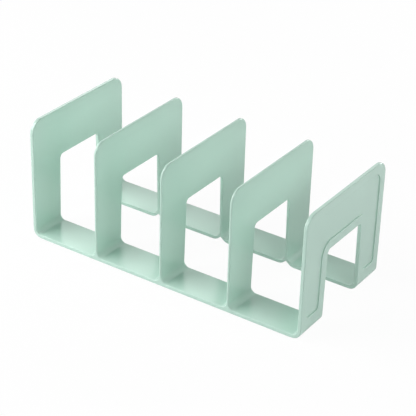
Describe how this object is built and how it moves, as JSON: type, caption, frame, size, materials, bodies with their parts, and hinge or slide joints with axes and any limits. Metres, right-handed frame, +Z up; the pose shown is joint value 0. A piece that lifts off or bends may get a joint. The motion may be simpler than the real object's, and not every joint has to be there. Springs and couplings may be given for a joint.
{
  "type": "desktop book rack",
  "caption": "Desktop book rack with arched upright dividers on front and rear floor rails, making open bays for books and files.",
  "frame": {"origin": "on the ground, under the middle of the rack", "axes": "+X along the rack from its left end to its right end, -Y towards the front of the rack, +Z up"},
  "size_m": [0.335, 0.152, 0.1357],
  "materials": {
    "mint_plastic": "semi-gloss injection-moulded mint green"
  },
  "bodies": {
    "root": {"left_end_upright": "mint_plastic", "divider_upright_1": "mint_plastic", "divider_upright_2": "mint_plastic", "divider_upright_3": "mint_plastic", "right_end_upright": "mint_plastic", "front_floor_1": "mint_plastic", "front_floor_2": "mint_plastic", "front_floor_3": "mint_plastic", "front_floor_4": "mint_plastic", "rear_floor_1": "mint_plastic", "rear_floor_2": "mint_plastic", "rear_floor_3": "mint_plastic", "rear_floor_4": "mint_plastic"}
  },
  "joints": []
}
